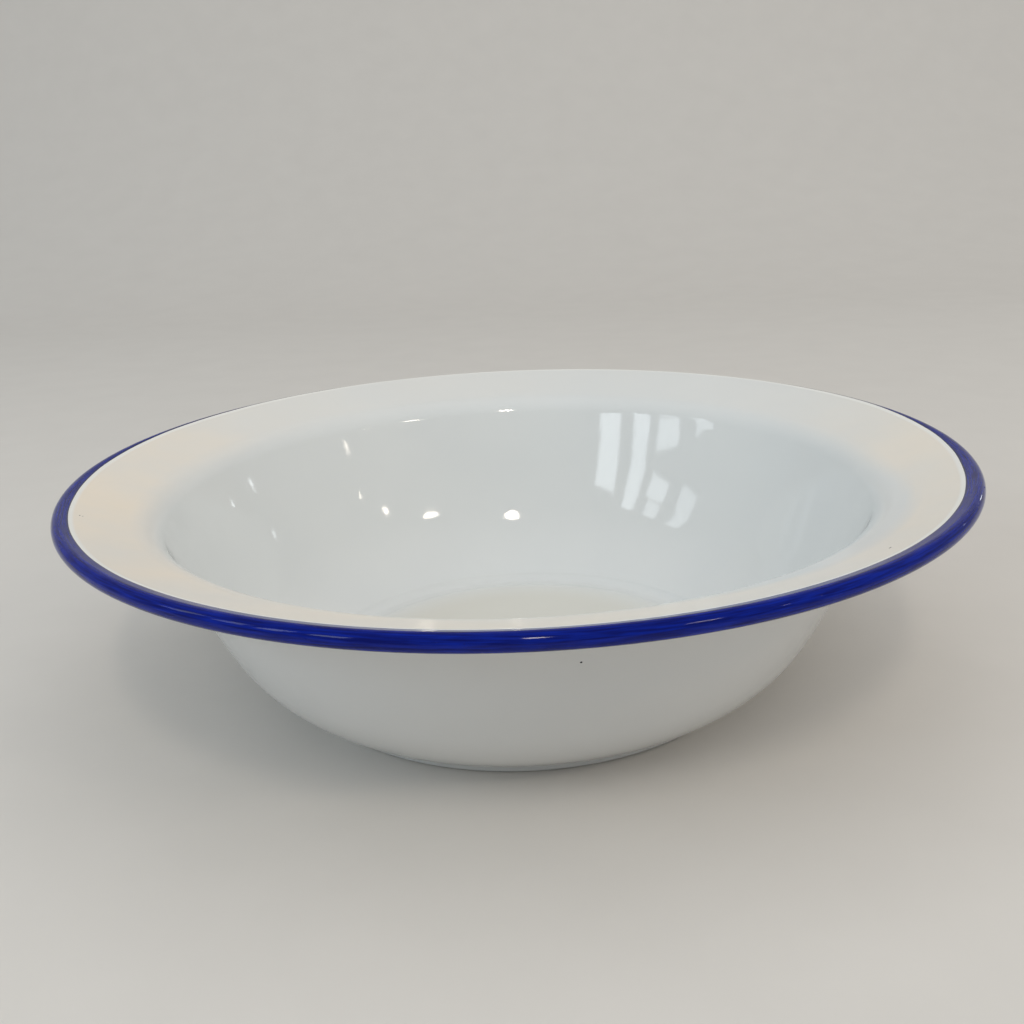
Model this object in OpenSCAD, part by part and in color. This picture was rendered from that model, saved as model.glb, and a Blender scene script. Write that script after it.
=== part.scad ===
// Enamelled steel basin with a rolled blue rim.
// One pressed sheet-steel bowl carries the fired enamel: a dark ground coat all over,
// a white cover coat on each face and a blue coat on the rolled edge.
// Every layer follows one section, a chain of tangent lines and arcs, and is turned about Z.

/* [Overall] */
// Outside diameter over the rolled rim
rim_diameter = 340; // [260:1:420]
// Height from the table to the top of the rolled rim
basin_height = 88; // [72:1:120]

/* [Foot and base] */
// Distance from the rim's edge in to the foot's edge, seen from above
foot_inset = 81.2; // [68:0.1:96]
// Width of the flat ring that bears on the table
foot_ring_width = 6; // [3:0.5:12]
// Radius of the foot's lower corner, at the middle of the sheet
foot_corner_radius = 1; // [0.9:0.1:2.5]
// Slope of the foot's side, in degrees from level
foot_side_angle = 76; // [60:1:85]
// Length of the straight part of the foot's side, up its slope
foot_side_length = 1.8; // [0.4:0.1:5]
// Radius of the groove above the foot, at the middle of the sheet
foot_groove_radius = 1; // [0.9:0.1:2.5]
// Height by which the middle of the base is pressed clear of the table
base_recess = 1; // [0.5:0.1:2.5]
// Radius of the two bends between the foot ring and the middle of the base
recess_bend_radius = 12; // [4:0.5:20]

/* [Wall] */
// Slope at which the wall leaves the foot, in degrees from level
wall_foot_angle = 24.5; // [18:0.5:36]
// Radius of the round lower wall, at the middle of the sheet
wall_radius = 56; // [46:1:76]
// Slope at which the lower wall goes over into the upper wall, in degrees from level
wall_middle_angle = 62; // [54:0.5:66]
// Radius of the gently curved upper wall, at the middle of the sheet
upper_wall_radius = 200; // [120:5:400]
// Slope of the straight top of the wall, in degrees from level
wall_angle = 68.5; // [67:0.5:78]

/* [Flange] */
// Radius of the bend from the wall out to the flange, at the middle of the sheet
flange_bend_radius = 7; // [5:0.5:14]
// Slope of the flange, rising outwards, in degrees from level
flange_angle = 19.5; // [12:0.5:26]

/* [Rolled rim] */
// Diameter of the rolled edge over its enamel
rim_bead_diameter = 5.6; // [5:0.1:9]
// Gap between the tucked edge of the sheet and the flange above it
tuck_gap = 0.3; // [0.1:0.05:0.8]
// Width of the flange that is blue, up to the start of the roll
blue_flange_width = 2.6; // [0.5:0.1:12]

/* [Sheet and enamel] */
// Thickness of the steel sheet
steel_thickness = 0.6; // [0.4:0.05:0.9]
// Thickness of the dark ground coat
ground_coat = 0.1; // [0.05:0.01:0.2]
// Thickness of the white cover coat
white_coat = 0.2; // [0.1:0.01:0.35]
// Thickness of the blue rim coat
blue_coat = 0.2; // [0.1:0.01:0.35]

/* [Hidden] */

// Facets in one turn of the revolved solids
$fn = 240;
// Largest distance between an arc of the section and its chords
chord_gap = 0.01;

// Distances of each layer's faces from the middle of the sheet
steel_face = steel_thickness / 2;
ground_face = steel_face + ground_coat;
white_face = ground_face + white_coat;
blue_face = ground_face + blue_coat;

// Rolled rim: centre of the roll and radius of the middle of its sheet
bead_radius = rim_bead_diameter / 2;
bead_center = [rim_diameter / 2 - bead_radius, basin_height - bead_radius];
roll_radius = bead_radius - blue_face;
// The roll closes until the tucked edge is one gap below the white underside of the flange
roll_turn = 360 - acos((roll_radius - white_face - tuck_gap) / bead_radius);
// Turn that the ground coat takes to wrap round the cut edge
edge_turn = ground_coat / roll_radius * 180 / PI;

// Foot and base
foot_corner_x = rim_diameter / 2 - foot_inset - foot_corner_radius - white_face;
recess_turn = acos(1 - base_recess / (2 * recess_bend_radius));
recess_run = 2 * recess_bend_radius * sin(recess_turn);
base_flat = foot_corner_x - foot_ring_width - recess_run;

// A step of the section is [length, 0] for a line or [radius, turn] for an arc.
// A positive turn bends the sheet upwards. A place is [x, z, heading].
function is_line(step) = step[1] == 0;
function line_end(place, length) = [
    place[0] + length * cos(place[2]),
    place[1] + length * sin(place[2]),
    place[2]
];
function arc_end(place, radius, turn) =
    let (side = sign(turn) * radius)
    let (heading = place[2] + turn)
    [
        place[0] + side * (sin(heading) - sin(place[2])),
        place[1] - side * (cos(heading) - cos(place[2])),
        heading
    ];
// Place after a share of one step, from 0 to 1
function along(place, step, share = 1) =
    is_line(step) ? line_end(place, step[0] * share) : arc_end(place, step[0], step[1] * share);
// Places at the start of every step and at the end of the last
function places(start, steps) = [
    for (i = 0, place = start; i <= len(steps);
         place = i < len(steps) ? along(place, steps[i]) : place, i = i + 1) place
];
// Chords that an arc needs to stay within chord_gap
function chords(step) =
    is_line(step) ? 1 : ceil(abs(step[1]) / (2 * acos(1 - chord_gap / (step[0] + white_face))));
// Point beside a place, on its upper or inner side where the distance is positive
function beside(place, distance) = [
    place[0] - distance * sin(place[2]),
    place[1] + distance * cos(place[2])
];
function reversed(list) = [for (i = [len(list) - 1 : -1 : 0]) list[i]];

// Steps from the axis to the end of the curved wall
base_steps = [
    [base_flat, 0],
    [recess_bend_radius, -recess_turn],
    [recess_bend_radius, recess_turn],
    [foot_ring_width, 0],
    [foot_corner_radius, foot_side_angle],
    [foot_side_length, 0],
    [foot_groove_radius, wall_foot_angle - foot_side_angle],
    [wall_radius, wall_middle_angle - wall_foot_angle],
    [upper_wall_radius, wall_angle - wall_middle_angle]
];
flange_bend = [flange_bend_radius, flange_angle - wall_angle];

// The straight wall and the flange take the lengths that bring the sheet to the rolled rim
base_place = [0, base_recess + white_face, 0];
wall_place = places(base_place, base_steps)[len(base_steps)];
bend_shift = along([0, 0, wall_angle], flange_bend);
roll_start = [
    bead_center[0] - roll_radius * sin(flange_angle),
    bead_center[1] + roll_radius * cos(flange_angle)
];
reach_x = roll_start[0] - wall_place[0] - bend_shift[0];
reach_z = roll_start[1] - wall_place[1] - bend_shift[1];
slope_cross = sin(wall_angle - flange_angle);
wall_length = (reach_z * cos(flange_angle) - reach_x * sin(flange_angle)) / slope_cross;
flange_length = (reach_x * sin(wall_angle) - reach_z * cos(wall_angle)) / slope_cross;

section_steps = concat(base_steps, [
    [wall_length, 0],
    flange_bend,
    [flange_length - blue_flange_width, 0],
    [blue_flange_width, 0],
    [roll_radius, edge_turn - roll_turn],
    [roll_radius, -edge_turn]
]);
section_places = places(base_place, section_steps);

// Steps at which the layers end
wrap_end = len(section_steps);
steel_end = wrap_end - 1;
flange_end = wrap_end - 2;
white_end = wrap_end - 3;

// Face of a layer: points at one distance from the middle of the sheet, between two steps
function face(distance, last, first = 0) = concat(
    [
        for (i = [first : last - 1])
            for (k = [0 : chords(section_steps[i]) - 1])
                beside(along(section_places[i], section_steps[i], k / chords(section_steps[i])), distance)
    ],
    [beside(section_places[last], distance)]
);

// Solid between two faces of the sheet, turned about Z
module coat(inner, outer, last, first = 0) {
    rotate_extrude()
        polygon(concat(face(inner, last, first), reversed(face(outer, last, first))));
}

// Pressed and rolled steel sheet, hollow inside the roll
module steel_bowl() {
    color("dimgray")
        coat(-steel_face, steel_face, steel_end);
}

// Ground coat over both faces of the steel and round its cut edge
module ground_enamel() {
    color("midnightblue")
        rotate_extrude()
            polygon(concat(
                face(-ground_face, wrap_end),
                reversed(face(ground_face, wrap_end)),
                face(steel_face, steel_end),
                reversed(face(-steel_face, steel_end))
            ));
}

// White coat inside the bowl and over the flange, up to the blue band
module inside_white_enamel() {
    color("ivory")
        coat(ground_face, white_face, white_end);
}

// White coat under the foot, outside the wall and under the flange, up to the roll
module outside_white_enamel() {
    color("whitesmoke")
        coat(-white_face, -ground_face, flange_end);
}

// Blue coat from the flange over the rolled edge to its tucked end
module blue_rim_enamel() {
    color("mediumblue")
        coat(ground_face, blue_face, wrap_end, white_end);
}

steel_bowl();
ground_enamel();
inside_white_enamel();
outside_white_enamel();
blue_rim_enamel();
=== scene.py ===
import math

import bmesh
import bpy
from mathutils import Matrix, Vector, noise


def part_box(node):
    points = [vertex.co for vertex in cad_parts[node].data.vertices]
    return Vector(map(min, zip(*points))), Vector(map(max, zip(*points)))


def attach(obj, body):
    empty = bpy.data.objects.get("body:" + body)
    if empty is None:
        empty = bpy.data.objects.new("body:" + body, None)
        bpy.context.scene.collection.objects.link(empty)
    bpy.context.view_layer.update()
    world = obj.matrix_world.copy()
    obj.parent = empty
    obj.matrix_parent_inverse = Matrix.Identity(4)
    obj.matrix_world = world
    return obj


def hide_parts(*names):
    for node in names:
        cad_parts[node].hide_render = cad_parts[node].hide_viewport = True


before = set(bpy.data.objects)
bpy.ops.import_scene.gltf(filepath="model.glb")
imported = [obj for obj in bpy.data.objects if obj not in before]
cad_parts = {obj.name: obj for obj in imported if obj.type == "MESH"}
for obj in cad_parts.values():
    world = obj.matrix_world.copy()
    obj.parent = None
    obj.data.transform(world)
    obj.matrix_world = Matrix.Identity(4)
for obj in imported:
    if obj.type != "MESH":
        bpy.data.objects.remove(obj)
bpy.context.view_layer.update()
mm = 0.001

# The pressing, in millimetres and degrees at the middle of its sheet.
pressing = {
    "rimRadius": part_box("blue_rim_enamel")[1].x / mm,
    "height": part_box("blue_rim_enamel")[1].z / mm,
    "footInset": 81.2,      # from the rim's edge in to the foot's edge
    "footRing": 6.0,        # flat ring that bears on the table
    "footCorner": 1.0,
    "footSide": 76.0,
    "footSideLength": 1.8,
    "footGroove": 1.0,
    "recess": 1.0,          # middle of the base is pressed up by this
    "recessBend": 12.0,
    "wallFoot": 24.5,       # slope at which the wall leaves the foot
    "wallRadius": 56.0,
    "wallMiddle": 62.0,     # slope at which the gentle upper arc takes over
    "upperRadius": 200.0,
    "wallSlope": 68.5,
    "flangeBend": 7.0,
    "flangeSlope": 19.5,
    "beadRadius": 2.8,
    "tuckGap": 0.3,
    "flangeEdge": 7.0,      # width of flange beside the blue that is cut finer
    "blueFlange": 2.6,      # width of flange that is blue
    "overRoll": 80.0,       # turn of the roll that has white under the blue
    "groundSkin": 0.4,      # faces of the coats, from the middle of the sheet
    "coverSkin": 0.6,
    "whiteThins": 0.75,     # share of the white coat that is lost as it goes over the roll
    "lineStep": 4.0,        # longest edge along a straight stretch
    "fineStep": 0.5,        # longest edge beside and under the painted line
    "arcStep": 2.0,         # longest edge along a wide arc
    "arcTurn": 4.0,         # largest turn between edges of a tight arc
    "hiddenCoarse": 3.0,    # edges of hidden faces are longer by this
    "turns": 360,           # edges in a full turn about the axis
    "mergeWithin": 0.001,   # doubles are merged within this
    "sharp": 50.0,          # edges that turn by more than this stay sharp
}

# The inner face as it shows: rounder than the sheet at the foot's step and at the bend into the flange,
# and flatter on the flange.
innerFace = {
    "stepSlope": 48.0,
    "stepGroove": 3.5,
    "recessBend": 18.0,
    "flangeBend": 12.0,
    "flangeSlope": 17.2,
}


# A place on the section is (x, z, heading); a step is (length, 0) or (radius, turn).
def goAlong(place, step, share=1.0):
    x, z, heading = place
    size, turn = step
    if not turn:
        return x + size * share * math.cos(heading), z + size * share * math.sin(heading), heading
    side = math.copysign(size, turn)
    ahead = heading + turn * share
    x += side * (math.sin(ahead) - math.sin(heading))
    z += side * (math.cos(heading) - math.cos(ahead))
    return x, z, ahead


def goThrough(place, chain):
    for name, size, turn in chain:
        place = goAlong(place, (size, turn))
    return place


def beside(place, skin):
    x, z, heading = place
    return x - skin * math.sin(heading), z + skin * math.cos(heading)


def stepLength(step):
    size, turn = step
    return size * abs(turn) if turn else size


# Lays out the section. The straight wall and the flange get the lengths that bring the sheet to the
# rolled rim. On the inner face the foot's step rises to a lesser slope, in wider arcs, and the flange
# has its own bend and slope.
def layOutSection(sizes, inside=None):
    roll = sizes["beadRadius"] - sizes["coverSkin"]
    center = (sizes["rimRadius"] - sizes["beadRadius"], sizes["height"] - sizes["beadRadius"])
    rollTurn = 2 * math.pi - math.acos((roll - sizes["coverSkin"] - sizes["tuckGap"]) / sizes["beadRadius"])
    rollEnd = math.radians(sizes["flangeSlope"]) - rollTurn
    if inside:
        sizes = {**sizes, "flangeBend": inside["flangeBend"], "flangeSlope": inside["flangeSlope"]}
    names = ("footSide", "wallFoot", "wallMiddle", "wallSlope", "flangeSlope", "overRoll")
    angle = {name: math.radians(sizes[name]) for name in names}
    recessTurn = math.acos(1 - sizes["recess"] / (2 * sizes["recessBend"]))
    recessRun = 2 * sizes["recessBend"] * math.sin(recessTurn)
    cornerX = sizes["rimRadius"] - sizes["footInset"] - sizes["footCorner"] - sizes["coverSkin"]
    base, ring, bend = cornerX - sizes["footRing"] - recessRun, sizes["footRing"], sizes["recessBend"]
    step = [
        ("footCorner", sizes["footCorner"], angle["footSide"]),
        ("footSide", sizes["footSideLength"], 0),
        ("footGroove", sizes["footGroove"], angle["wallFoot"] - angle["footSide"]),
    ]
    level = (0.0, 0.0, 0.0)
    if inside:
        run, rise = goThrough(level, step)[:2]
        slope, groove, bend = math.radians(inside["stepSlope"]), inside["stepGroove"], inside["recessBend"]
        corner = (rise - groove * (math.cos(angle["wallFoot"]) - math.cos(slope))) / (1 - math.cos(slope))
        step = [("footCorner", corner, slope), ("footGroove", groove, angle["wallFoot"] - slope)]
        recessTurn = math.acos(1 - sizes["recess"] / (2 * bend))
        spread = (2 * bend * math.sin(recessTurn) - recessRun) / 2
        base, ring = base - spread, ring - spread - (goThrough(level, step)[0] - run)
    chain = [
        ("base", base, 0),
        ("recessDown", bend, -recessTurn),
        ("recessOut", bend, recessTurn),
        ("footRing", ring, 0),
        *step,
        ("roundWall", sizes["wallRadius"], angle["wallMiddle"] - angle["wallFoot"]),
        ("upperWall", sizes["upperRadius"], angle["wallSlope"] - angle["wallMiddle"]),
    ]
    flangeBend = ("flangeBend", sizes["flangeBend"], angle["flangeSlope"] - angle["wallSlope"])
    axis = (0.0, sizes["recess"] + sizes["coverSkin"], 0.0)
    place = goThrough(axis, chain)
    shift = goThrough((0.0, 0.0, angle["wallSlope"]), [flangeBend])
    rollStart = beside((*center, angle["flangeSlope"]), roll)
    reachX = rollStart[0] - place[0] - shift[0]
    reachZ = rollStart[1] - place[1] - shift[1]
    cross = math.sin(angle["wallSlope"] - angle["flangeSlope"])
    wall = (reachZ * math.cos(angle["flangeSlope"]) - reachX * math.sin(angle["flangeSlope"])) / cross
    flange = (reachX * math.sin(angle["wallSlope"]) - reachZ * math.cos(angle["wallSlope"])) / cross
    chain += [
        ("wall", wall, 0),
        flangeBend,
        ("flange", flange - sizes["flangeEdge"] - sizes["blueFlange"], 0),
        ("flangeEdge", sizes["flangeEdge"], 0),
        ("blueFlange", sizes["blueFlange"], 0),
        ("overRoll", roll, -angle["overRoll"]),
        ("roll", roll, rollEnd - angle["flangeSlope"] + angle["overRoll"]),
    ]
    section = {"names": [], "steps": [], "places": [axis], "reach": [0.0]}
    for name, size, turn in chain:
        section["names"].append(name)
        section["steps"].append((size, turn))
        section["places"].append(goAlong(section["places"][-1], (size, turn)))
        section["reach"].append(section["reach"][-1] + stepLength((size, turn)))
    section["mark"] = {name: number for number, name in enumerate(section["names"])}
    section["mark"]["end"] = len(section["steps"])
    return section


# Counts distances along a section so that the named step starts at the given one.
def countFrom(section, name, distance):
    shift = distance - section["reach"][section["mark"][name]]
    section["reach"] = [reach + shift for reach in section["reach"]]
    steps = zip(section["names"], section["steps"])
    print("section:", ", ".join(f"{step} {stepLength(shape):.1f}" for step, shape in steps), "mm")


# Distance along the sheet at which a step starts.
def startOf(name):
    return sheet["reach"][sheet["mark"][name]]


# Distances count from the foot of the wall, and the inner face has the same ones at the roll.
sheet = layOutSection(pressing)
countFrom(sheet, "roundWall", 0.0)
inner = layOutSection(pressing, innerFace)
countFrom(inner, "overRoll", startOf("overRoll"))


# Place on a section after a distance along the sheet, in millimetres.
def placeAt(section, distance):
    number = 0
    while number < len(section["steps"]) - 1 and distance > section["reach"][number + 1]:
        number += 1
    step = section["steps"][number]
    share = (distance - section["reach"][number]) / stepLength(step)
    return goAlong(section["places"][number], step, share)


# Which face of its coat a vertex lies on.
faceMark = {"hidden": 0.0, "overWhite": 0.5, "front": 1.0}


# One face of a coat, drawn from a single vertex: lines are extruded and arcs are spun.
def drawFace(bm, section, first, last, skin, facing, coarse=1.0):
    layers = bm.verts.layers.float
    mark, reach = section["mark"], section["reach"]
    x, z = beside(section["places"][mark[first]], skin)
    tip = bm.verts.new((x * mm, 0, z * mm))
    start = tip
    tip[layers["along"]], tip[layers["facing"]] = reach[mark[first]], facing
    for number in range(mark[first], mark[last]):
        size, turn = section["steps"][number]
        heading = section["places"][number][2]
        length = stepLength((size, turn))
        if turn:
            pieces = max(length / pressing["arcStep"], math.degrees(abs(turn)) / pressing["arcTurn"])
            x, z = beside(section["places"][number], math.copysign(size, turn))
        else:
            fine = section["names"][number] in ("flangeEdge", "blueFlange")
            pieces = length / pressing["fineStep" if fine else "lineStep"]
        pieces = math.ceil(pieces / coarse)
        for piece in range(pieces):
            if turn:
                made = bmesh.ops.spin(bm, geom=[tip], cent=(x * mm, 0, z * mm), axis=(0, -1, 0),
                                      angle=turn / pieces, steps=1)["geom_last"]
            else:
                made = bmesh.ops.extrude_vert_indiv(bm, verts=[tip])["verts"]
                ahead = Vector((math.cos(heading), 0, math.sin(heading)))
                bmesh.ops.translate(bm, verts=made, vec=ahead * (length / pieces * mm))
            tip = made[0]
            tip[layers["along"]] = reach[number] + length * (piece + 1) / pieces
            tip[layers["facing"]] = facing
    return start, tip


def smoothStep(value, low, high):
    share = min(1.0, max(0.0, (value - low) / (high - low)))
    return share * share * (3 - 2 * share)


# The white coat thins out under the blue as it goes over the roll.
def whiteSkin(distance):
    lost = pressing["whiteThins"] * smoothStep(distance, startOf("overRoll"), startOf("roll"))
    return pressing["coverSkin"] - lost * (pressing["coverSkin"] - pressing["groundSkin"])


# The painted edge of the blue: hand-brushed, a little wider at the front, and drawn back over the roll
# at the far side. Lengths are in millimetres and angles in degrees about the axis.
paintLine = {
    "wobble": ((3, 0.25, 1.2), (7, 0.15, 0.4), (16, 0.06, 2.1), (37, 0.03, 0.7)),  # lobes, size, phase
    "wideAt": -102.0,       # middle of the wider stretch
    "wideSpread": 28.0,
    "wideBy": 0.8,
    "wider": 0.35,          # the blue reaches further in than its band on the sheet
    "farRight": (-24.0, 48.0),  # angles between which the line goes back
    "farLeft": (240.0, 85.0),
    "farBy": 4.65,
}


# Distance along the sheet at which the blue starts, for an angle about the axis.
def paintedLine(angle):
    line = startOf("blueFlange") - paintLine["wider"]
    line += sum(size * math.sin(lobes * angle + phase) for lobes, size, phase in paintLine["wobble"])
    degrees = (math.degrees(angle) + 90) % 360 - 90
    aside = abs((degrees - paintLine["wideAt"] + 180) % 360 - 180)
    line -= paintLine["wideBy"] * (1 - smoothStep(aside, 0, paintLine["wideSpread"]))
    backRight = smoothStep(degrees, *paintLine["farRight"])
    backLeft = smoothStep(-degrees, *(-turn for turn in paintLine["farLeft"]))
    return line + paintLine["farBy"] * min(backRight, backLeft)


# A new bmesh with the layers that a coat's vertices carry.
def newCoat():
    bm = bmesh.new()
    for layer in ("along", "facing", "fromEdge", "worn", "creamy", "onBase"):
        bm.verts.layers.float.new(layer)
    bm.verts.layers.float_vector.new("around")
    return bm


# Turns the drawn outline about the axis into a closed coat.
def turnAbout(bm):
    bmesh.ops.spin(bm, geom=bm.verts[:] + bm.edges[:], cent=(0, 0, 0), axis=(0, 0, 1),
                   angle=2 * math.pi, steps=pressing["turns"], use_merge=True)
    bmesh.ops.remove_doubles(bm, verts=bm.verts, dist=pressing["mergeWithin"] * mm)
    bmesh.ops.recalc_face_normals(bm, faces=bm.faces)
    bm.normal_update()


# Small marks fired into a coat: flat lenses at an angle about the axis and a distance along the sheet.
markLens = {
    "around": 16,           # segments of a lens
    "rings": 8,
    "pastLine": 5.0,        # a lens counts as this far past the painted line, where the blue is full
}


def addMarks(bm, marks, section, skin, slot):
    fromEdge = bm.verts.layers.float["fromEdge"]
    for angle, distance, around, up, high in marks:
        spot = placeAt(section, distance)
        x, z = beside(spot, skin)
        turn = Matrix.Rotation(math.radians(angle), 4, "Z")
        lean = Matrix.Rotation(-spot[2], 4, "Y")
        place = turn @ Matrix.Translation(Vector((x, 0, z)) * mm) @ lean
        size = Matrix.Diagonal((up * mm, around * mm, high * mm, 1))
        made = bmesh.ops.create_uvsphere(bm, u_segments=markLens["around"], v_segments=markLens["rings"],
                                         radius=0.5, matrix=place @ size)["verts"]  # one across, then sized
        for vert in made:
            vert[fromEdge] = markLens["pastLine"]
            for face in vert.link_faces:
                face.material_index = slot


# Makes the finished piece from its bmesh, with its materials and body, and hides its CAD node.
def finishPiece(bm, name, materials, node):
    for face in bm.faces:
        face.smooth = True
    for edge in bm.edges:
        edge.smooth = edge.calc_face_angle(0.0) < math.radians(pressing["sharp"])
    mesh = bpy.data.meshes.new(name)
    bm.to_mesh(mesh)
    bm.free()
    for material in materials:
        mesh.materials.append(material)
    piece = bpy.data.objects.new(name, mesh)
    bpy.context.scene.collection.objects.link(piece)
    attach(piece, "root")
    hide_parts(node)
    print("made", name, len(mesh.polygons), "faces")


# sRGB hex to the linear colour that a socket takes.
def hexColor(code):
    channels = [int(code[i:i + 2], 16) / 255 for i in (1, 3, 5)]
    linear = [c / 12.92 if c <= 0.04045 else ((c + 0.055) / 1.055) ** 2.4 for c in channels]
    return (*linear, 1.0)


# Scale of a pattern whose features have a real size in millimetres.
def patternScale(size):
    return 1 / (size * mm)


# Adds a shader node with its settings; an input is a socket to link or a value to set.
def addNode(tree, kind, inputs=None, **settings):
    node = tree.nodes.new("ShaderNode" + kind)
    for name, value in settings.items():
        setattr(node, name, value)
    for name, value in (inputs or {}).items():
        if isinstance(value, bpy.types.NodeSocket):
            tree.links.new(value, node.inputs[name])
        else:
            node.inputs[name].default_value = value
    return node


# Sockets of a Mix node: its share, the two colours and the mixed colour, and the two plain values.
mixShare, colorA, colorB, mixedColor, valueA, valueB = 0, 6, 7, 2, 2, 3
glassIor = 1.52


def newMaterial(name):
    material = bpy.data.materials.new(name)
    material.use_nodes = True
    tree = material.node_tree
    return material, tree, tree.nodes["Principled BSDF"]


# White vitreous enamel, sprayed and fired: a deep wet gloss over a surface that is never quite flat,
# so reflections swim a little, with faint clouds of white, painted warm light in patches on the flange
# (painted shade on the outside), a base painted a little darker and a painted highlight by the blue.
def whiteEnamel(look):
    material, tree, shader = newMaterial(look["name"])
    place = addNode(tree, "TexCoord").outputs["Object"]
    cloud = addNode(tree, "TexNoise", {
        "Vector": place, "Scale": patternScale(look["cloudSize"]), "Detail": 3.0}).outputs["Fac"]
    tone = addNode(tree, "Mix", data_type="RGBA", inputs={
        mixShare: cloud, colorA: hexColor(look["white"]), colorB: hexColor(look["shade"])})
    # painted light: warm light on the inside's flange, and shade up the outer wall and under the flange
    warmth = addNode(tree, "Attribute", attribute_name="creamy").outputs["Fac"]
    patch = addNode(tree, "TexNoise", {
        "Vector": place, "Scale": patternScale(look["patchSize"]), "Detail": 4.0})
    patchy = addNode(tree, "MapRange", {
        "Value": patch.outputs["Fac"], "From Min": 0.3, "From Max": 0.7,
        "To Min": look["creamShare"][0], "To Max": look["creamShare"][1]})
    creamy = addNode(tree, "Math", {0: warmth, 1: patchy.outputs[0]}, operation="MULTIPLY")
    tinted = addNode(tree, "Mix", data_type="RGBA", inputs={
        mixShare: creamy.outputs[0], colorA: tone.outputs[mixedColor], colorB: hexColor(look["cream"])})
    # the base is painted a little darker and warmer than the wall
    onBase = addNode(tree, "Attribute", attribute_name="onBase").outputs["Fac"]
    dull = addNode(tree, "Mix", data_type="RGBA", inputs={
        mixShare: onBase, colorA: tinted.outputs[mixedColor], colorB: hexColor(look["base"])})
    # painted highlight: brighter white beside the blue
    fromEdge = addNode(tree, "Attribute", attribute_name="fromEdge").outputs["Fac"]
    byBlue = addNode(tree, "MapRange", interpolation_type="SMOOTHSTEP", inputs={
        "Value": fromEdge, "From Min": look["cleanBand"][0], "From Max": look["cleanBand"][1]})
    clean = addNode(tree, "Mix", data_type="RGBA", inputs={
        mixShare: byBlue.outputs[0], colorA: dull.outputs[mixedColor], colorB: hexColor(look["clean"])})
    worn = addNode(tree, "Attribute", attribute_name="worn").outputs["Fac"]
    grit = addNode(tree, "TexNoise", {
        "Vector": place, "Scale": patternScale(look["scuffSize"]), "Detail": 6.0})
    scuff = addNode(tree, "Math", {0: worn, 1: grit.outputs["Fac"]}, operation="MULTIPLY")
    scuffed = addNode(tree, "MapRange", {
        "Value": scuff.outputs[0], "From Min": 0.3, "From Max": 0.55}).outputs[0]
    color = addNode(tree, "Mix", data_type="RGBA", inputs={
        mixShare: scuffed, colorA: clean.outputs[mixedColor], colorB: hexColor(look["scuff"])})
    gloss = addNode(tree, "MapRange", {
        "Value": cloud, "From Min": 0.3, "From Max": 0.7,
        "To Min": look["roughness"][0], "To Max": look["roughness"][1]})
    dulled = addNode(tree, "Mix", {
        mixShare: warmth, valueA: gloss.outputs[0], valueB: look["creamRoughness"]})
    rough = addNode(tree, "Mix", {
        mixShare: scuffed, valueA: dulled.outputs[0], valueB: look["scuffRoughness"]})
    wave = addNode(tree, "TexNoise", {
        "Vector": place, "Scale": patternScale(look["waveSize"]), "Detail": 1.0})
    peel = addNode(tree, "TexNoise", {
        "Vector": place, "Scale": patternScale(look["peelSize"]), "Detail": 2.0})
    swell = addNode(tree, "Bump", {
        "Height": wave.outputs["Fac"], "Distance": look["waveDepth"] * mm})
    skin = addNode(tree, "Bump", {
        "Height": peel.outputs["Fac"], "Distance": look["peelDepth"] * mm, "Normal": swell.outputs[0]})
    tree.links.new(color.outputs[mixedColor], shader.inputs["Base Color"])
    tree.links.new(rough.outputs[0], shader.inputs["Roughness"])
    tree.links.new(skin.outputs[0], shader.inputs["Normal"])
    shader.inputs["IOR"].default_value = glassIor
    return material


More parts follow.
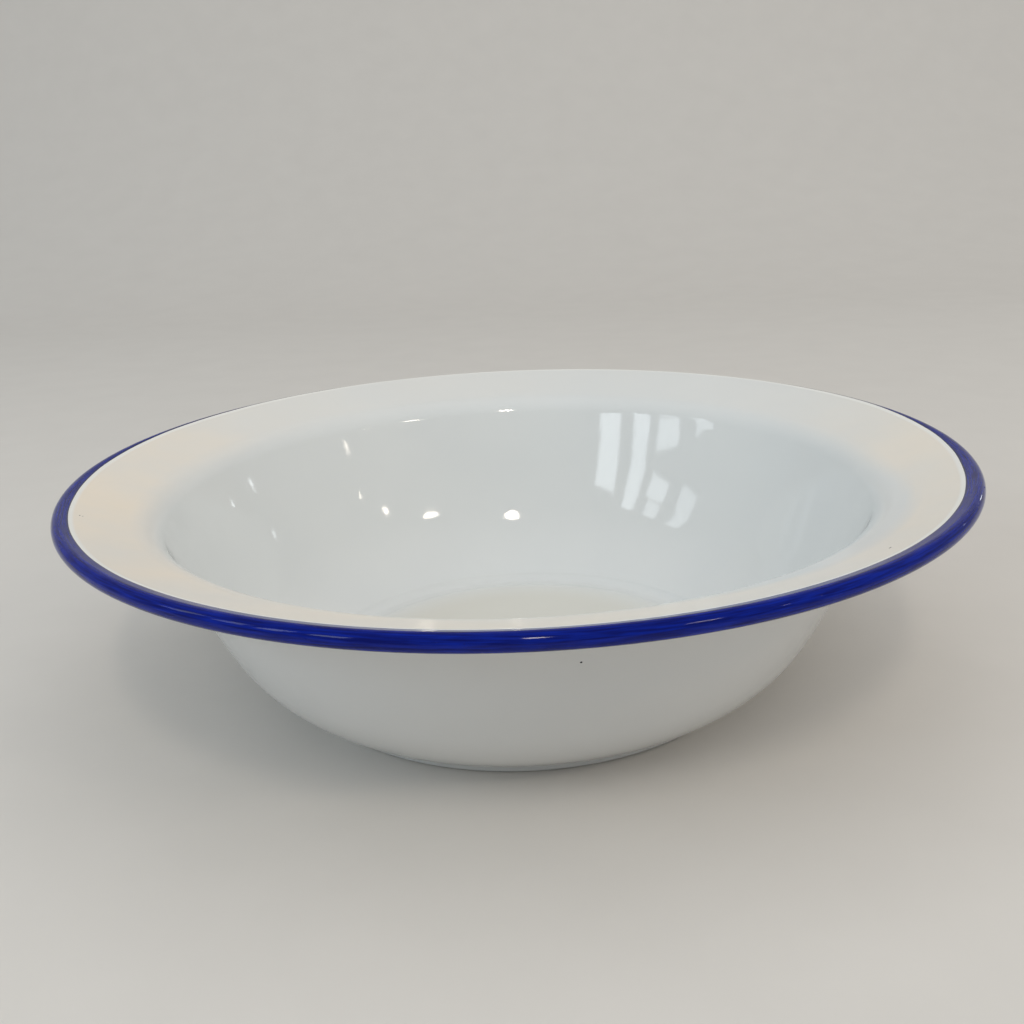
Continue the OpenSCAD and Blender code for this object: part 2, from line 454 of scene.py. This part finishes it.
# Cobalt blue vitreous enamel, brushed round the rolled edge by hand: a deep glossy blue, darker where it
# lies thick, streaked along the brush's way, and thinning to a grey fringe over the white.
def blueEnamel(look):
    material, tree, shader = newMaterial(look["name"])
    around = addNode(tree, "Attribute", attribute_name="around").outputs["Vector"]
    spread = addNode(tree, "Mapping", {
        "Vector": around, "Scale": (look["streakLong"], look["streakLong"], 1 / look["streakWide"])})
    streak = addNode(tree, "TexNoise", {
        "Vector": spread.outputs[0], "Scale": 1.0, "Detail": 4.0}).outputs["Fac"]
    strength = addNode(tree, "MapRange", {
        "Value": streak, "From Min": look["streakSpan"][0], "From Max": look["streakSpan"][1]})
    cobalt = addNode(tree, "Mix", data_type="RGBA", inputs={
        mixShare: strength.outputs[0], colorA: hexColor(look["deep"]), colorB: hexColor(look["blue"])})
    fromEdge = addNode(tree, "Attribute", attribute_name="fromEdge").outputs["Fac"]
    ragged = addNode(tree, "Math", {0: streak, 1: look["ragged"], 2: fromEdge}, operation="MULTIPLY_ADD")
    hazeAt, washAt, fullAt = look["fringe"]
    full = addNode(tree, "MapRange", interpolation_type="SMOOTHSTEP", inputs={
        "Value": ragged.outputs[0], "From Min": washAt, "From Max": fullAt})
    thin = addNode(tree, "MapRange", interpolation_type="SMOOTHSTEP", inputs={
        "Value": ragged.outputs[0], "From Min": hazeAt, "From Max": washAt})
    haze = addNode(tree, "Mix", data_type="RGBA", inputs={
        mixShare: thin.outputs[0], colorA: hexColor(look["haze"]), colorB: hexColor(look["wash"])})
    color = addNode(tree, "Mix", data_type="RGBA", inputs={
        mixShare: full.outputs[0], colorA: haze.outputs[mixedColor], colorB: cobalt.outputs[mixedColor]})
    place = addNode(tree, "TexCoord").outputs["Object"]
    wave = addNode(tree, "TexNoise", {
        "Vector": place, "Scale": patternScale(look["waveSize"]), "Detail": 2.0})
    swell = addNode(tree, "Bump", {
        "Height": wave.outputs["Fac"], "Distance": look["waveDepth"] * mm})
    gloss = addNode(tree, "MapRange", {
        "Value": streak, "To Min": look["roughness"][0], "To Max": look["roughness"][1]})
    tree.links.new(color.outputs[mixedColor], shader.inputs["Base Color"])
    tree.links.new(gloss.outputs[0], shader.inputs["Roughness"])
    tree.links.new(swell.outputs[0], shader.inputs["Normal"])
    shader.inputs["IOR"].default_value = glassIor
    shader.inputs["Specular IOR Level"].default_value = look["shine"]
    return material


# Two colours mottled in one noise pattern, for the plainer materials.
def mottle(tree, shader, look):
    place = addNode(tree, "TexCoord").outputs["Object"]
    fleck = addNode(tree, "TexNoise", {
        "Vector": place, "Scale": patternScale(look["fleckSize"]), "Detail": look["fleckDetail"]})
    color = addNode(tree, "Mix", data_type="RGBA", inputs={
        mixShare: fleck.outputs["Fac"], colorA: hexColor(look["tone"]), colorB: hexColor(look["fleck"])})
    tree.links.new(color.outputs[mixedColor], shader.inputs["Base Color"])
    shader.inputs["Roughness"].default_value = look["roughness"]


# Dark ground coat, fired glass with cobalt in it: blue-black and shiny where a pinhole shows it.
groundLook = {
    "name": "cobaltGroundEnamel",
    "tone": "#141622",
    "fleck": "#262A3C",
    "fleckSize": 0.8,
    "fleckDetail": 4.0,
    "roughness": 0.15,
}


def groundEnamel(look):
    material, tree, shader = newMaterial(look["name"])
    mottle(tree, shader, look)
    shader.inputs["IOR"].default_value = glassIor
    return material


# Cold-rolled sheet steel, pickled before it was coated: dull grey with a fine even grain.
steelLook = {
    "name": "coldRolledSheetSteel",
    "tone": "#6E7073",
    "fleck": "#8E9093",
    "fleckSize": 0.6,
    "fleckDetail": 5.0,
    "roughness": 0.42,
}


def sheetSteel(look):
    material, tree, shader = newMaterial(look["name"])
    mottle(tree, shader, look)
    shader.inputs["Metallic"].default_value = 1.0
    return material


darkGround = groundEnamel(groundLook)

# Inside coat: from the middle of the base over the flange, and on under the blue.
insideLook = {
    "name": "whiteVitreousEnamelInside",
    "white": "#E4E6E4",
    "shade": "#DBDEDE",
    "cloudSize": 70.0,
    # painted warm light: the flange's cream tone stands in for warm light falling on it
    "cream": "#F5E8D5",
    "creamBlend": 14.0,     # width over which the painted warm light comes in on the flange
    "creamTurn": (0.85, -0.15, -0.7),  # share of painted warm light on the flange: all round, to the right, to the far side
    "creamFar": (-0.1, 0.9),  # from how far back the far side's share counts, as a share of the radius
    "creamLate": {          # stretch of the flange on which the painted warm light starts further out
        "at": -40.0,        # its middle, in degrees about the axis
        "full": 10.0,       # degrees to either side that have all of the delay
        "faded": 45.0,      # and degrees at which none is left
        "delay": 14.5,
        "blend": 4.0,
    },
    "creamShare": (0.5, 1.0),
    "creamRoughness": 0.22,  # the flange is dulled by use
    "patchSize": 48.0,
    "base": "#DAD8CF",      # the base is painted a little darker and warmer than the wall
    "baseBlend": 15.0,      # its tone fades from this far inside the recess to the step
    # painted highlight: brighter white along the raised lip beside the blue
    "clean": "#F1F0EB",
    "cleanBand": (-2.2, -1.0),  # painted highlight beside the blue, in mm from the painted line
    "scuff": "#B9B7B0",
    "scuffSize": 1.5,
    "scuffRoughness": 0.3,
    "roughness": (0.035, 0.07),
    "waveSize": 20.0,
    "waveDepth": 0.13,
    "peelSize": 2.4,
    "peelDepth": 0.008,
    "swell": 0.05,          # uneven thickness of the coat, which fades out towards the painted line
    "swellSize": 34.0,
    "swellFade": (-6.0, -3.0),
    "lip": 0.05,            # the coat stands up a little beside the blue
    "lipRise": (-2.0, -1.0),
    "lipFall": (-0.9, -0.1),
    "pinholes": (           # angle, distance along the sheet, then size around, up and out
        (-45.7, 110.9, 1.5, 0.45, 0.06),
        (-162.0, 114.9, 0.6, 0.6, 0.06),
        (-161.8, 113.9, 0.45, 0.5, 0.06),
    ),
}
bm = newCoat()
front = drawFace(bm, inner, "base", "roll", pressing["coverSkin"], faceMark["front"])
back = drawFace(bm, sheet, "base", "roll", pressing["groundSkin"], faceMark["hidden"],
                pressing["hiddenCoarse"])
bm.edges.new((front[1], back[1]))
turnAbout(bm)
along, facing, fromEdge, creamy, onBase = (
    bm.verts.layers.float[layer] for layer in ("along", "facing", "fromEdge", "creamy", "onBase"))
allRound, toRight, toFar = insideLook["creamTurn"]
late = insideLook["creamLate"]
for vert in bm.verts:
    if vert[facing] == faceMark["front"]:
        angle = math.atan2(vert.co.y, vert.co.x)
        edge = vert[along] - paintedLine(angle)
        # painted warm light on the flange, stronger at the left and near side, starting further out at the
        # near right
        isLate = 1 - smoothStep(abs(math.degrees(angle) - late["at"]), late["full"], late["faded"])
        creamStart = startOf("flangeBend") + isLate * late["delay"]
        blend = insideLook["creamBlend"] + isLate * (late["blend"] - insideLook["creamBlend"])
        farShare = smoothStep(math.sin(angle), *insideLook["creamFar"])
        vert[creamy] = smoothStep(vert[along], creamStart, creamStart + blend)
        vert[creamy] *= allRound + toRight * math.cos(angle) + toFar * farShare
        # the base is painted a little darker, fading out towards the foot's step
        fadeStart = startOf("recessDown") - insideLook["baseBlend"]
        vert[onBase] = 1 - smoothStep(vert[along], fadeStart, startOf("footCorner"))
        lift = insideLook["swell"] * noise.noise(vert.co / (insideLook["swellSize"] * mm))
        lift *= 1 - smoothStep(edge, *insideLook["swellFade"])
        rise, fall = smoothStep(edge, *insideLook["lipRise"]), smoothStep(edge, *insideLook["lipFall"])
        lift += insideLook["lip"] * rise * (1 - fall)
        lift += whiteSkin(vert[along]) - pressing["coverSkin"]
        vert.co += vert.normal * (lift * mm)
        vert[fromEdge] = edge
addMarks(bm, insideLook["pinholes"], inner, pressing["coverSkin"], 1)
finishPiece(bm, "insideWhiteEnamel", [whiteEnamel(insideLook), darkGround], "inside_white_enamel")

# Outside coat: under the base, round the foot, up the wall and under the flange to the roll.
# Its whites are painted darker than the inside's, as painted shade, and darker again up the wall and under
# the flange.
outsideLook = {
    "name": "whiteVitreousEnamelOutside",
    # painted shade: the outside's whites are darker than the inside's
    "white": "#DDDEDC",
    "shade": "#D2D4D4",
    "cloudSize": 80.0,
    # painted shade: darker tone up the outer wall and under the flange
    "cream": "#D2D1CC",
    "creamBlend": 30.0,
    "creamShare": (0.0, 0.6),
    "creamRoughness": 0.1,
    "patchSize": 60.0,
    "base": "#D2D1CC",
    "clean": "#E4E3DE",
    "cleanBand": (-2.2, -1.0),
    "fromEdge": -100.0,     # the outside is nowhere near the painted line
    "scuff": "#A3A19A",
    "scuffSize": 1.2,
    "scuffRoughness": 0.35,
    "wornHeight": (0.05, 0.6),  # the foot is worn up to here
    "roughness": (0.05, 0.1),
    "waveSize": 24.0,
    "waveDepth": 0.1,
    "peelSize": 2.6,
    "peelDepth": 0.008,
    "swell": 0.05,
    "swellSize": 38.0,
    "footFade": (4.0, 12.0),  # heights between which the swell sets in, so the foot stays true
    "rollFade": 2.0,        # the swell fades over this stretch before the roll
    "pinholes": ((-82.7, 71.4, 0.8, 0.7, 0.06),),
}
bm = newCoat()
front = drawFace(bm, sheet, "base", "overRoll", -pressing["coverSkin"], faceMark["front"])
back = drawFace(bm, sheet, "base", "overRoll", -pressing["groundSkin"], faceMark["hidden"],
                pressing["hiddenCoarse"])
bm.edges.new((front[1], back[1]))
turnAbout(bm)
along, facing, fromEdge, worn, creamy = (
    bm.verts.layers.float[layer] for layer in ("along", "facing", "fromEdge", "worn", "creamy"))
for vert in bm.verts:
    vert[fromEdge] = outsideLook["fromEdge"]
    # painted shade: darker from the straight wall up to under the flange
    vert[creamy] = smoothStep(vert[along], startOf("wall"), startOf("wall") + outsideLook["creamBlend"])
    if vert[facing] == faceMark["front"]:
        free = smoothStep(vert.co.z / mm, *outsideLook["footFade"])
        fadeStart = startOf("overRoll") - outsideLook["rollFade"]
        free *= 1 - smoothStep(vert[along], fadeStart, startOf("overRoll"))
        lift = outsideLook["swell"] * free * noise.noise(vert.co / (outsideLook["swellSize"] * mm))
        vert.co += vert.normal * (lift * mm)
        vert[worn] = 1 - smoothStep(vert.co.z / mm, *outsideLook["wornHeight"])
addMarks(bm, outsideLook["pinholes"], sheet, -pressing["coverSkin"], 1)
finishPiece(bm, "outsideWhiteEnamel", [whiteEnamel(outsideLook), darkGround], "outside_white_enamel")

# Blue rim: brushed over the rolled edge, with an uneven line on the flange.
rimLook = {
    "name": "cobaltBlueVitreousEnamel",
    "deep": "#010D5E",
    "blue": "#032190",
    "wash": "#2E3252",
    "haze": "#8F8D84",
    "fringe": (0.0, 0.2, 0.8),  # edge of the haze, the wash and the full blue, in mm from the painted line
    "ragged": 0.15,
    "streakLong": 14.0,     # streaks to a radian along the rim
    "streakWide": 0.5,      # width of a streak, in mm
    "streakSpan": (0.35, 0.68),  # values of the streaks that give the deep blue and the bright one
    "shine": 0.18,
    "waveSize": 14.0,
    "waveDepth": 0.1,
    "roughness": (0.04, 0.08),
    "proud": 0.04,          # height of the blue over the white
    "lipShare": 0.4,        # share of that height at the very edge
    "lipRun": 0.5,          # width over which the edge rises to the full height
    "settle": 1.5,          # stretch over which the blue sinks again, to where the white under it ends
    "pips": (               # angle, distance along the sheet, then size around, up and out
        (-22.5, 123.7, 0.6, 0.5, 0.3),
        (-97.2, 124.0, 0.7, 0.4, 0.2),
        (-94.9, 124.4, 0.5, 0.4, 0.16),
        (-109.0, 124.9, 0.5, 0.4, 0.16),
    ),
}
bm = newCoat()
front = drawFace(bm, inner, "blueFlange", "end", pressing["coverSkin"], faceMark["front"])
over = drawFace(bm, inner, "blueFlange", "roll", pressing["coverSkin"], faceMark["overWhite"])
under = drawFace(bm, sheet, "roll", "end", pressing["groundSkin"], faceMark["hidden"])
bm.edges.new((front[0], over[0]))
bm.edges.new((over[1], under[0]))
bm.edges.new((front[1], under[1]))
facing = bm.verts.layers.float["facing"]
front[0].co.z += rimLook["proud"] * mm  # keeps the thin edge open while doubles are merged
for vert in bm.verts:
    if vert[facing] == faceMark["overWhite"]:
        vert.co.z -= rimLook["proud"] * mm
turnAbout(bm)
along, facing, fromEdge = (bm.verts.layers.float[layer] for layer in ("along", "facing", "fromEdge"))
around = bm.verts.layers.float_vector["around"]
lineStart, lineEnd = startOf("blueFlange"), startOf("roll")
for vert in bm.verts:
    angle = math.atan2(vert.co.y, vert.co.x)
    line = paintedLine(angle)
    distance = vert[along]
    if distance < lineEnd:
        distance = line + (distance - lineStart) * (lineEnd - line) / (lineEnd - lineStart)
        skin = whiteSkin(distance)
        if vert[facing] == faceMark["front"]:
            rise = smoothStep(distance - line, 0.0, rimLook["lipRun"])
            height = rimLook["lipShare"] + (1 - rimLook["lipShare"]) * rise
            height -= smoothStep(distance, lineEnd - rimLook["settle"], lineEnd)
            skin = pressing["coverSkin"] + rimLook["proud"] * height
        x, z = beside(placeAt(inner, distance), skin)
        vert.co = Vector((x * math.cos(angle), x * math.sin(angle), z)) * mm
    vert[fromEdge] = distance - line
    vert[around] = (math.cos(angle), math.sin(angle), distance)
addMarks(bm, rimLook["pips"], inner, pressing["coverSkin"], 0)
finishPiece(bm, "blueRimEnamel", [blueEnamel(rimLook)], "blue_rim_enamel")

# The steel and its ground coat keep their CAD shape; the cover coats hide all but the tucked edge.
hiddenLooks = {"ground_enamel": darkGround, "steel_bowl": sheetSteel(steelLook)}
for node, material in hiddenLooks.items():
    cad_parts[node].data.materials.clear()
    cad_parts[node].data.materials.append(material)
print("steel and ground coat dressed")

# Floor and backdrop in one pale sweep, in metres: matt painted board, an even pale surface with the
# faintest mottle.
sweepLook = {
    "name": "palePaintedBoard",
    "halfWidth": 3.2,
    "front": -2.2,
    "back": 1.9,
    "height": 2.4,
    "radius": 0.9,
    "segments": 24,
    "tone": "#E0DCD6",
    "fleck": "#DAD6D0",
    "fleckSize": 40.0,      # in mm
    "fleckDetail": 3.0,
    "roughness": 0.7,
}


def paleBoard(look):
    material, tree, shader = newMaterial(look["name"])
    mottle(tree, shader, look)
    return material


bm = bmesh.new()
corners = [bm.verts.new((side * sweepLook["halfWidth"], sweepLook["front"], 0)) for side in (-1, 1)]
edge = bm.edges.new(corners)
for shift in (Vector((0, sweepLook["back"] - sweepLook["front"], 0)), Vector((0, 0, sweepLook["height"]))):
    made = bmesh.ops.extrude_edge_only(bm, edges=[edge])["geom"]
    edge = [item for item in made if isinstance(item, bmesh.types.BMEdge)][0]
    bmesh.ops.translate(bm, verts=edge.verts[:], vec=shift)
crease = [item for item in bm.edges if len(item.link_faces) == 2]
bmesh.ops.bevel(bm, geom=crease, offset=sweepLook["radius"], offset_type="OFFSET", affect="EDGES",
                segments=sweepLook["segments"], profile=0.5, material=-1)
bmesh.ops.recalc_face_normals(bm, faces=bm.faces)
for face in bm.faces:
    face.smooth = True
mesh = bpy.data.meshes.new("paleSweep")
bm.to_mesh(mesh)
bm.free()
mesh.materials.append(paleBoard(sweepLook))
sweep = bpy.data.objects.new("paleSweep", mesh)
bpy.context.scene.collection.objects.link(sweep)
print("sweep made")

# Studio light, in metres: soft panels above, in front and at the sides, a window of narrow panes, and
# small round lamps.
lamps = {
    "overhead": {"at": (0.3, -0.4, 2.3), "size": (3.6, 3.2), "watts": 24.5, "color": "#FFFFFF"},
    "front": {"at": (0.3, -1.9, 1.5), "size": (3.2, 1.8), "watts": 3.2, "color": "#FFFFFF"},
    "right": {"at": (1.9, -0.3, 0.8), "size": (1.6, 1.1), "watts": 5.4, "color": "#FFF6EA"},
    "left": {"at": (-1.9, -0.3, 0.8), "size": (1.6, 1.1), "watts": 6.5, "color": "#D8EBFA"},
    "paneA": {"at": (-0.784, -0.874, 0.69), "size": (0.175, 0.22), "watts": 0.6, "color": "#EAF4FA"},
    "paneB": {"at": (-0.93, -0.639, 0.69), "size": (0.12, 0.3), "watts": 0.55, "color": "#EAF4FA"},
    "paneC": {"at": (-0.997, -0.423, 0.62), "size": (0.16, 0.1), "watts": 0.2, "color": "#EAF4FA"},
    "paneD": {"at": (-1.0, -0.41, 0.76), "size": (0.12, 0.13), "watts": 0.17, "color": "#EAF4FA"},
    "paneE": {"at": (-1.11, -0.15, 0.61), "size": (0.15, 0.11), "watts": 0.15, "color": "#EAF4FA"},
    "paneF": {"at": (-1.11, -0.15, 0.77), "size": (0.13, 0.18), "watts": 0.22, "color": "#EAF4FA"},
    "ceilingA": {"at": (0.065, -1.15, 1.33), "size": (0.14, 0.29), "watts": 2.8, "color": "#FFF3E2"},
    "ceilingB": {"at": (1.37, -1.44, 1.55), "size": (0.25, 0.12), "watts": 2.2, "color": "#FFF3E2"},
    "ceilingC": {"at": (2.3, -1.2, 1.55), "size": (0.13, 0.07), "watts": 0.6, "color": "#FFF3E2"},
    "ceilingD": {"at": (3.1, -1.08, 1.525), "size": (0.08, 0.06), "watts": 0.2, "color": "#FFF3E2"},
    "doorA": {"at": (1.22, 1.06, 0.28), "size": (0.06, 0.05), "watts": 0.07, "color": "#F4FAFF"},
    "doorB": {"at": (1.405, 0.746, 0.43), "size": (0.04, 0.03), "watts": 0.02, "color": "#F4FAFF"},
}
fillPanels = ("overhead", "front", "right", "left")
roundLamps = ("ceiling", "door")
lampTarget = Vector((0, 0, 0.05))
for name, lamp in lamps.items():
    light = bpy.data.lights.new(name, "AREA")
    light.shape = "ELLIPSE" if name.startswith(roundLamps) else "RECTANGLE"
    light.size, light.size_y = lamp["size"]
    light.energy = lamp["watts"]
    light.color = hexColor(lamp["color"])[:3]
    holder = bpy.data.objects.new(name, light)
    holder.location = lamp["at"]
    holder.visible_camera = False
    holder.visible_glossy = name not in fillPanels  # gloss shows the panes and round lamps, not the fill
    aim = lampTarget - holder.location
    holder.rotation_euler = aim.to_track_quat("-Z", "Y").to_euler()
    bpy.context.scene.collection.objects.link(holder)

roomLook = {"color": "#DDE1E4", "strength": 0.435}
world = bpy.data.worlds.new("paleRoom")
world.use_nodes = True
bpy.context.scene.world = world
world.node_tree.nodes["Background"].inputs["Color"].default_value = hexColor(roomLook["color"])
world.node_tree.nodes["Background"].inputs["Strength"].default_value = roomLook["strength"]
print("lights set")

# Camera of the photograph: where it stands in millimetres, its turns in radians and its focal length
# in pixels.
cameraLook = {
    "at": (0.0, -421.8, 203.1),
    "yaw": -0.00508,
    "pitch": 0.31834,
    "roll": 0.04487,
    "focalPixels": 1120.0,
    "framePixels": 1024.0,
    "sensor": 36.0,
    "clipStart": 10.0,
}
yaw, pitch, roll = cameraLook["yaw"], cameraLook["pitch"], cameraLook["roll"]
forward = Vector((math.sin(yaw) * math.cos(pitch), math.cos(yaw) * math.cos(pitch), -math.sin(pitch)))
right = Vector((math.cos(yaw), -math.sin(yaw), 0))
down = forward.cross(right)
rightTurned = right * math.cos(roll) + down * math.sin(roll)
downTurned = down * math.cos(roll) - right * math.sin(roll)
lens = bpy.data.cameras.new("photoCamera")
lens.sensor_width = cameraLook["sensor"]
lens.lens = cameraLook["focalPixels"] / cameraLook["framePixels"] * cameraLook["sensor"]
lens.clip_start = cameraLook["clipStart"] * mm
camera = bpy.data.objects.new("photoCamera", lens)
turned = Matrix((rightTurned, -downTurned, -forward)).transposed().to_4x4()
camera.matrix_world = Matrix.Translation(Vector(cameraLook["at"]) * mm) @ turned
bpy.context.scene.collection.objects.link(camera)
bpy.context.scene.camera = camera
bpy.context.scene.view_settings.view_transform = "Standard"
print("camera set")

bpy.context.view_layer.update()
